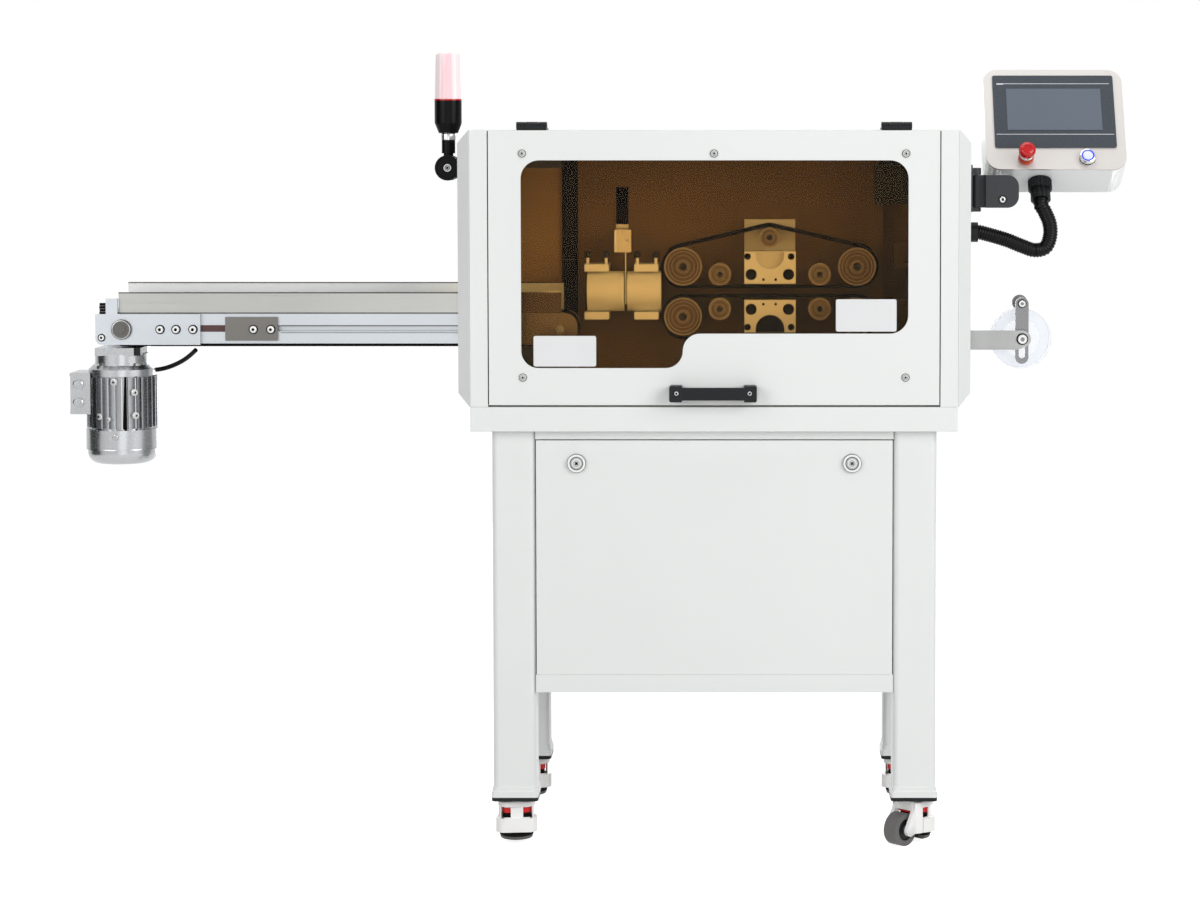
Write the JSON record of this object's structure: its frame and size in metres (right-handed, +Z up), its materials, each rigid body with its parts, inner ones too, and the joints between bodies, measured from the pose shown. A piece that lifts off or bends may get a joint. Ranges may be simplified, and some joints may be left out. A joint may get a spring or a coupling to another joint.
{
  "type": "tube cutting machine",
  "caption": "Tube cutting machine: wheeled cabinet with tinted door, belt feed, guillotine blade, outfeed conveyor, signal lamp and operator panel.",
  "frame": {"origin": "on the floor under the middle of the machine's outline", "axes": "+Z up, +X to the operator's right along the tube's path, +Y from the front to the back"},
  "size_m": [2.062, 0.547, 1.535],
  "materials": {
    "white_paint": "satin powder coat",
    "amber_acrylic": "clear tinted acrylic, polished",
    "black_plastic": "matt moulded",
    "black_rubber": "matt rubber",
    "grey_rubber": "matt rubber",
    "machined_aluminium": "anodised, fine machining marks",
    "cast_aluminium": "painted casting, satin",
    "plated_steel": "zinc plated, satin",
    "stainless_sheet": "brushed along its length",
    "blade_steel": "ground",
    "brass_block": "milled",
    "arm_paint": "satin",
    "panel_grey": "satin",
    "red_plastic": "polished",
    "lens_pink": "translucent, moulded flutes",
    "clear_plastic": "clear, polished"
  },
  "bodies": {
    "root": {"stand_frame": "white_paint", "stand_panels": "white_paint", "table_plate": "white_paint", "cabinet_shell": "white_paint", "side_cover_left": "white_paint", "side_cover_right": "white_paint", "machine_plate": "machined_aluminium", "door_hinges": "black_plastic", "tube_guides": "machined_aluminium", "feed_blocks": "machined_aluminium", "feed_belts": "black_rubber", "inlet_guide": "machined_aluminium", "door_switch": "black_plastic", "belt_idlers": "plated_steel", "conveyor_frame": "machined_aluminium", "conveyor_belt": "black_rubber", "trough": "stainless_sheet", "gearmotor": "cast_aluminium", "motor_cable": "black_rubber", "lamp_bracket": "black_plastic", "hmi_flange": "arm_paint", "hmi_conduit": "black_plastic", "guide_arm": "plated_steel"},
    "door": {"front_door": "white_paint", "window_pane": "amber_acrylic", "door_handle": "black_plastic"},
    "stand_door": {"lower_panel": "white_paint"},
    "lock_left": {"panel_lock_left": "plated_steel"},
    "lock_right": {"panel_lock_right": "plated_steel"},
    "blade": {"blade_slide": "blade_steel"},
    "pulley_1": {"feed_pulley_1": "plated_steel"},
    "pulley_2": {"feed_pulley_2": "plated_steel"},
    "pulley_3": {"feed_pulley_3": "plated_steel"},
    "pulley_4": {"feed_pulley_4": "plated_steel"},
    "tension_upper": {"tension_pulley_upper": "plated_steel"},
    "tension_lower": {"tension_pulley_lower": "plated_steel"},
    "drum_drive": {"drive_drum": "plated_steel"},
    "drum_tail": {"tail_drum": "plated_steel"},
    "lamp": {"lamp_stem": "black_plastic", "lamp_lens": "lens_pink"},
    "panel_arm": {"hmi_arm": "arm_paint"},
    "panel_box": {"hmi_box": "panel_grey", "hmi_panel": "stainless_sheet"},
    "estop": {"estop_button": "red_plastic"},
    "start": {"start_button": "plated_steel"},
    "roller_bar": {"guide_bar": "plated_steel"},
    "wheel_guide": {"guide_wheel": "clear_plastic"},
    "roller_guide": {"guide_roller": "plated_steel"},
    "caster_1": {"caster_housing_1": "white_paint"},
    "wheel_1": {"caster_wheel_1": "grey_rubber"},
    "foot_1": {"caster_foot_1": "grey_rubber"},
    "caster_2": {"caster_housing_2": "white_paint"},
    "wheel_2": {"caster_wheel_2": "grey_rubber"},
    "foot_2": {"caster_foot_2": "grey_rubber"},
    "caster_3": {"caster_housing_3": "white_paint"},
    "wheel_3": {"caster_wheel_3": "grey_rubber"},
    "foot_3": {"caster_foot_3": "grey_rubber"},
    "caster_4": {"caster_housing_4": "white_paint"},
    "wheel_4": {"caster_wheel_4": "grey_rubber"},
    "foot_4": {"caster_foot_4": "grey_rubber"}
  },
  "joints": [
    {"name": "door_hinge", "type": "hinge", "parent": "root", "child": "door", "pos_m": [0.227, -0.215, 1.394], "axis": [-1, 0, 0], "range_deg": [0, 95]},
    {"name": "stand_door_tilt", "type": "hinge", "parent": "root", "child": "stand_door", "pos_m": [0.227, -0.2215, 0.336], "axis": [1, 0, 0], "range_deg": [0, 30]},
    {"name": "lock_left_turn", "type": "hinge", "parent": "stand_door", "child": "lock_left", "pos_m": [-0.038, -0.2215, 0.746], "axis": [0, 1, 0], "range_deg": [-90, 0]},
    {"name": "lock_right_turn", "type": "hinge", "parent": "stand_door", "child": "lock_right", "pos_m": [0.492, -0.2215, 0.746], "axis": [0, -1, 0], "range_deg": [-90, 0]},
    {"name": "blade_lift", "type": "slide", "parent": "root", "child": "blade", "axis": [0, 0, 1], "range_m": [0, 0.075]},
    {"name": "pulley_1_spin", "type": "hinge", "parent": "root", "child": "pulley_1", "pos_m": [0.165, -0.0915, 1.1198], "axis": [0, 1, 0], "continuous": true},
    {"name": "pulley_2_spin", "type": "hinge", "parent": "root", "child": "pulley_2", "pos_m": [0.505, -0.0915, 1.1198], "axis": [0, 1, 0], "continuous": true},
    {"name": "pulley_3_spin", "type": "hinge", "parent": "root", "child": "pulley_3", "pos_m": [0.165, -0.0915, 1.0222], "axis": [0, 1, 0], "continuous": true},
    {"name": "pulley_4_spin", "type": "hinge", "parent": "root", "child": "pulley_4", "pos_m": [0.505, -0.0915, 1.0222], "axis": [0, 1, 0], "continuous": true},
    {"name": "tension_upper_spin", "type": "hinge", "parent": "root", "child": "tension_upper", "pos_m": [0.334, -0.0915, 1.177], "axis": [0, 1, 0], "continuous": true},
    {"name": "tension_lower_spin", "type": "hinge", "parent": "root", "child": "tension_lower", "pos_m": [0.334, -0.0915, 0.965], "axis": [0, 1, 0], "continuous": true},
    {"name": "drum_drive_spin", "type": "hinge", "parent": "root", "child": "drum_drive", "pos_m": [-0.926, -0.0915, 0.999], "axis": [0, 1, 0], "continuous": true},
    {"name": "drum_tail_spin", "type": "hinge", "parent": "root", "child": "drum_tail", "pos_m": [-0.074, -0.0915, 0.999], "axis": [0, 1, 0], "continuous": true},
    {"name": "lamp_fold", "type": "hinge", "parent": "root", "child": "lamp", "pos_m": [-0.289, -0.1415, 1.313], "axis": [0, -1, 0], "range_deg": [0, 90]},
    {"name": "arm_swivel", "type": "hinge", "parent": "root", "child": "panel_arm", "pos_m": [0.735, -0.1435, 1.2675], "axis": [0, 0, 1], "range_deg": [-45, 0], "deforming": ["hmi_conduit"]},
    {"name": "box_tilt", "type": "hinge", "parent": "panel_arm", "child": "panel_box", "pos_m": [0.787, -0.1025, 1.283], "axis": [1, 0, 0], "range_deg": [-20, 12]},
    {"name": "estop_push", "type": "slide", "parent": "panel_box", "child": "estop", "axis": [0, 0.866, -0.5], "range_m": [0, 0.006], "stiffness_N_per_m": 800},
    {"name": "start_push", "type": "slide", "parent": "panel_box", "child": "start", "axis": [0, 0.866, -0.5], "range_m": [0, 0.003], "stiffness_N_per_m": 600},
    {"name": "guide_bar_tilt", "type": "hinge", "parent": "root", "child": "roller_bar", "pos_m": [0.827, -0.1245, 0.979], "axis": [0, 1, 0], "range_deg": [-30, 30]},
    {"name": "guide_wheel_spin", "type": "hinge", "parent": "roller_bar", "child": "wheel_guide", "pos_m": [0.827, -0.0915, 0.979], "axis": [0, 1, 0], "continuous": true},
    {"name": "guide_roller_spin", "type": "hinge", "parent": "roller_bar", "child": "roller_guide", "pos_m": [0.827, -0.0915, 1.0478], "axis": [0, 1, 0], "continuous": true},
    {"name": "caster_1_swivel", "type": "hinge", "parent": "root", "child": "caster_1", "pos_m": [-0.1595, -0.18, 0.0884], "axis": [0, 0, 1], "continuous": true},
    {"name": "wheel_1_roll", "type": "hinge", "parent": "caster_1", "child": "wheel_1", "pos_m": [-0.16342, -0.1427, 0.0315], "axis": [-0.9945, -0.1045, 0], "continuous": true},
    {"name": "foot_1_level", "type": "slide", "parent": "caster_1", "child": "foot_1", "axis": [0, 0, -1], "range_m": [0, 0.015]},
    {"name": "caster_2_swivel", "type": "hinge", "parent": "root", "child": "caster_2", "pos_m": [0.6135, -0.18, 0.0884], "axis": [0, 0, 1], "continuous": true},
    {"name": "wheel_2_roll", "type": "hinge", "parent": "caster_2", "child": "wheel_2", "pos_m": [0.58745, -0.20697, 0.0315], "axis": [0.7193, -0.6947, 0], "continuous": true},
    {"name": "foot_2_level", "type": "slide", "parent": "caster_2", "child": "foot_2", "axis": [0, 0, -1], "range_m": [0, 0.015]},
    {"name": "caster_3_swivel", "type": "hinge", "parent": "root", "child": "caster_3", "pos_m": [-0.1595, 0.203, 0.0884], "axis": [0, 0, 1], "continuous": true},
    {"name": "wheel_3_roll", "type": "hinge", "parent": "caster_3", "child": "wheel_3", "pos_m": [-0.17355, 0.23777, 0.0315], "axis": [-0.9272, -0.3746, 0], "continuous": true},
    {"name": "foot_3_level", "type": "slide", "parent": "caster_3", "child": "foot_3", "axis": [0, 0, -1], "range_m": [0, 0.015]},
    {"name": "caster_4_swivel", "type": "hinge", "parent": "root", "child": "caster_4", "pos_m": [0.6135, 0.203, 0.0884], "axis": [0, 0, 1], "continuous": true},
    {"name": "wheel_4_roll", "type": "hinge", "parent": "caster_4", "child": "wheel_4", "pos_m": [0.62384, 0.23905, 0.0315], "axis": [-0.9613, 0.2756, 0], "continuous": true},
    {"name": "foot_4_level", "type": "slide", "parent": "caster_4", "child": "foot_4", "axis": [0, 0, -1], "range_m": [0, 0.015]}
  ],
  "couplings": [
    {"joint": "pulley_2_spin", "follows": "pulley_1_spin", "ratio": 1},
    {"joint": "pulley_3_spin", "follows": "pulley_1_spin", "ratio": -1},
    {"joint": "pulley_4_spin", "follows": "pulley_1_spin", "ratio": -1},
    {"joint": "tension_upper_spin", "follows": "pulley_1_spin", "ratio": 1.85},
    {"joint": "tension_lower_spin", "follows": "pulley_1_spin", "ratio": -1.85},
    {"joint": "drum_tail_spin", "follows": "drum_drive_spin", "ratio": 1}
  ]
}
